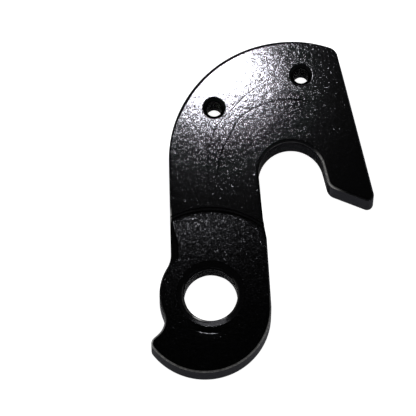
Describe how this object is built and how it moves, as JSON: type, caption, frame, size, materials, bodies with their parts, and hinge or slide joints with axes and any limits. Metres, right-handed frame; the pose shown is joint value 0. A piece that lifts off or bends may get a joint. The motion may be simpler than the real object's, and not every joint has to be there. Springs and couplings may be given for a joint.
{
  "type": "bicycle derailleur hanger",
  "caption": "Flat aluminium hanger with an open axle slot, a threaded boss for the rear derailleur with a stop tooth beside it, and tapped holes in a rounded head to fix it to the frame.",
  "frame": {"origin": "On the axis of the derailleur thread, at the frame face that the part lies on.", "axes": "+Z points outwards, along the derailleur thread and out of the outer face; +Y runs up from the thread to the head that holds the wheel axle; +X runs to the side that the tip beyond the axle slot is on."},
  "size_m": [0.0375, 0.0576, 0.0064],
  "materials": {
    "anodised_aluminium": "bead-blasted and anodised black"
  },
  "bodies": {
    "root": {"hanger": "anodised_aluminium"}
  },
  "joints": []
}
